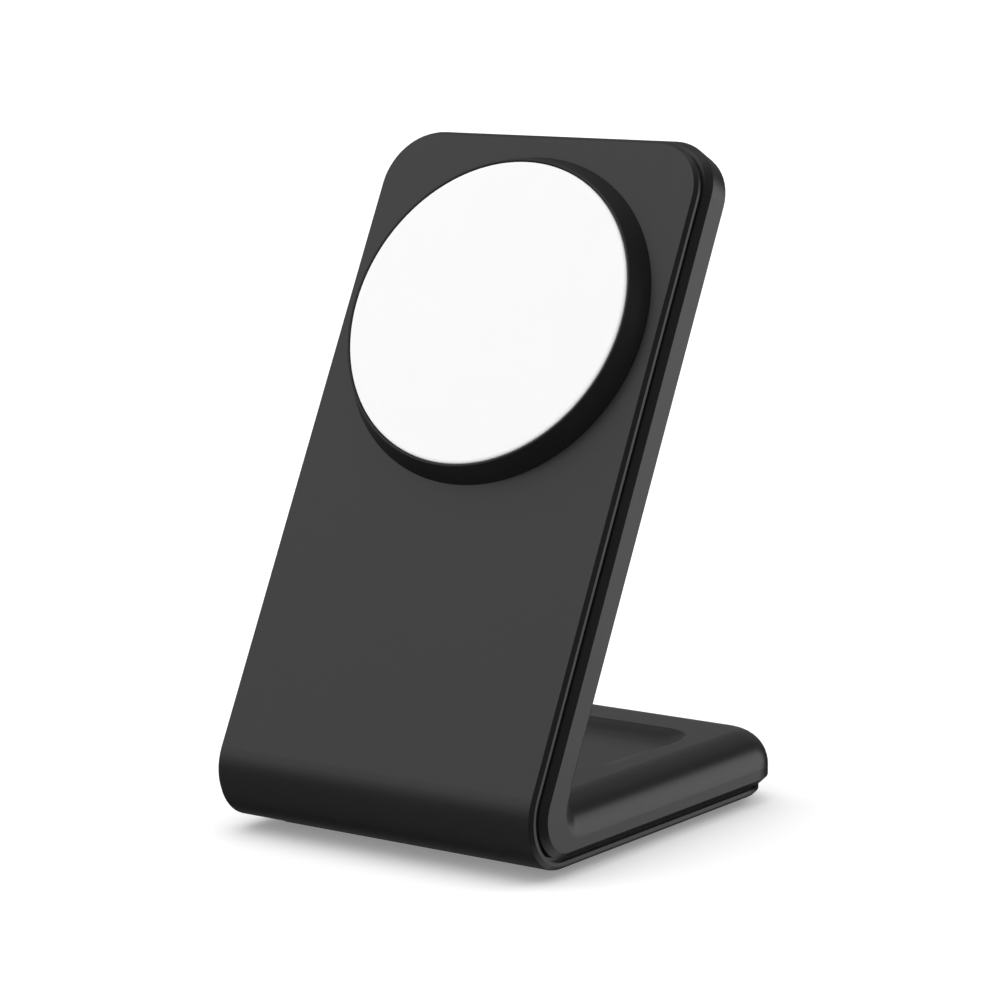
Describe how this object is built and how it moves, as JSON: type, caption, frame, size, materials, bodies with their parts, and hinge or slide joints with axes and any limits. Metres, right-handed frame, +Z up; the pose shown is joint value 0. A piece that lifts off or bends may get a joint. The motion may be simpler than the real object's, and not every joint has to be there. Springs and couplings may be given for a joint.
{
  "type": "wireless charging stand",
  "caption": "Leaning charging stand for a phone with a round magnetic puck, on a flat rear base with a shallow dish for an earbud case.",
  "frame": {"origin": "on the surface that the stand rests on, under the middle of its bounding box", "axes": "+Z up, the charging face looks towards -Y and up, the base runs back to +Y, +X is the right-hand side as seen from the front"},
  "size_m": [0.0666, 0.0776, 0.1153],
  "materials": {
    "housing": "satin dark grey",
    "puck_cup": "satin near-black grey",
    "white_pad": "soft white, matt",
    "plated_steel": "zinc plated",
    "screw_steel": "dark nickel plated",
    "tray_plastic": "moulded, matt",
    "coil_copper": "enamelled copper wire",
    "ferrite": "sintered ferrite",
    "lead_jacket": "light grey jacket",
    "magnet_nickel": "nickel plated",
    "sensor_epoxy": "black epoxy bead",
    "circuit_board": "green solder mask",
    "chip_plastic": "moulded epoxy",
    "capacitor_ceramic": "ceramic",
    "connector_plastic": "moulded, natural",
    "inlet_steel": "stainless",
    "inlet_plastic": "moulded, black",
    "foot_rubber": "matt silicone"
  },
  "bodies": {
    "root": {"outer_shell": "housing", "inner_shell": "housing", "puck_body": "puck_cup", "puck_face": "white_pad", "puck_back_plate": "plated_steel", "puck_screws": "screw_steel", "coil_tray": "tray_plastic", "phone_coil": "coil_copper", "phone_ferrite": "ferrite", "phone_coil_lead": "lead_jacket", "magnet_ring": "magnet_nickel", "magnet_back_ring": "plated_steel", "thermistor": "sensor_epoxy", "main_board": "circuit_board", "control_chips": "chip_plastic", "resonant_capacitors": "capacitor_ceramic", "power_inductor": "ferrite", "lead_connectors": "connector_plastic", "inlet_shell": "inlet_steel", "inlet_tongue": "inlet_plastic", "earbud_coil": "coil_copper", "earbud_ferrite": "ferrite", "earbud_coil_holder": "tray_plastic", "earbud_coil_lead": "lead_jacket", "holder_screws": "screw_steel", "board_screws": "screw_steel", "base_screws": "screw_steel", "counterweight": "plated_steel", "foot_pad": "foot_rubber"}
  },
  "joints": []
}
